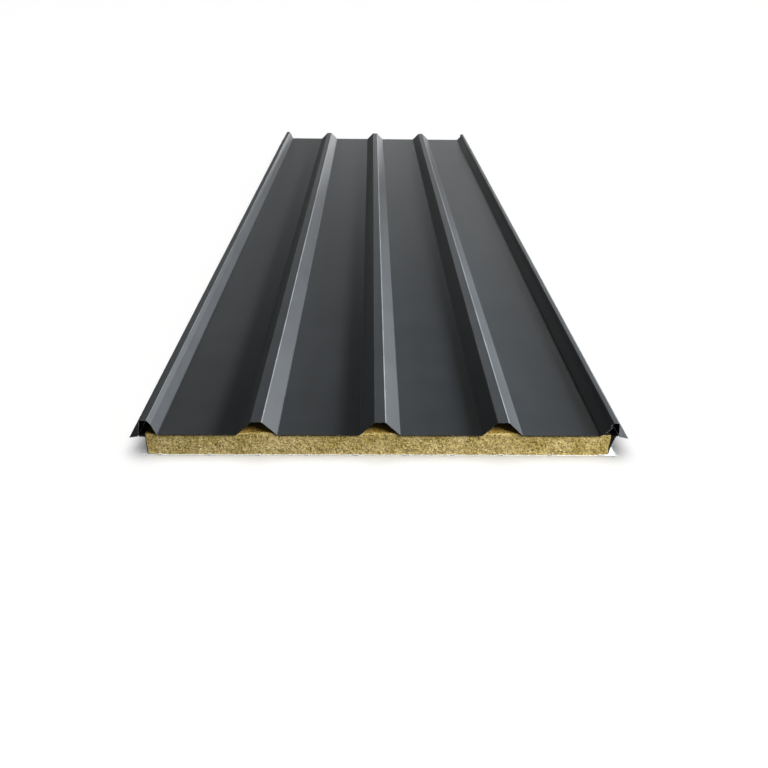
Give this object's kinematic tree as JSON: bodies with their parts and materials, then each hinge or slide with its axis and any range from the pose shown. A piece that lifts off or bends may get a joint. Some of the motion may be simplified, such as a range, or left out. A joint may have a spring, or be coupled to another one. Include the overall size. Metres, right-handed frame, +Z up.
{
  "type": "insulated roof panel",
  "caption": "Insulated roof panel: ribbed dark steel weather sheet over a mineral wool core, with a shallow-grooved white steel liner and two different side ribs.",
  "frame": {"origin": "on the underside of the liner, below the middle rib, half way along the panel", "axes": "+X across the panel from the taller side rib to the stepped one, +Y along the ribs, +Z up out of the weather side"},
  "size_m": [1.0125, 3, 0.0835],
  "materials": {
    "coated_steel_anthracite": "satin polyester coil coating, pale backing coat underneath",
    "mineral_wool": "fibrous, cut",
    "coated_steel_white": "satin polyester coil coating",
    "black_foam": "matt closed-cell foam"
  },
  "bodies": {
    "root": {"outer_sheet": "coated_steel_anthracite", "mineral_wool_core": "mineral_wool", "inner_liner": "coated_steel_white", "edge_seal_left": "black_foam", "edge_seal_right": "black_foam"}
  },
  "joints": []
}
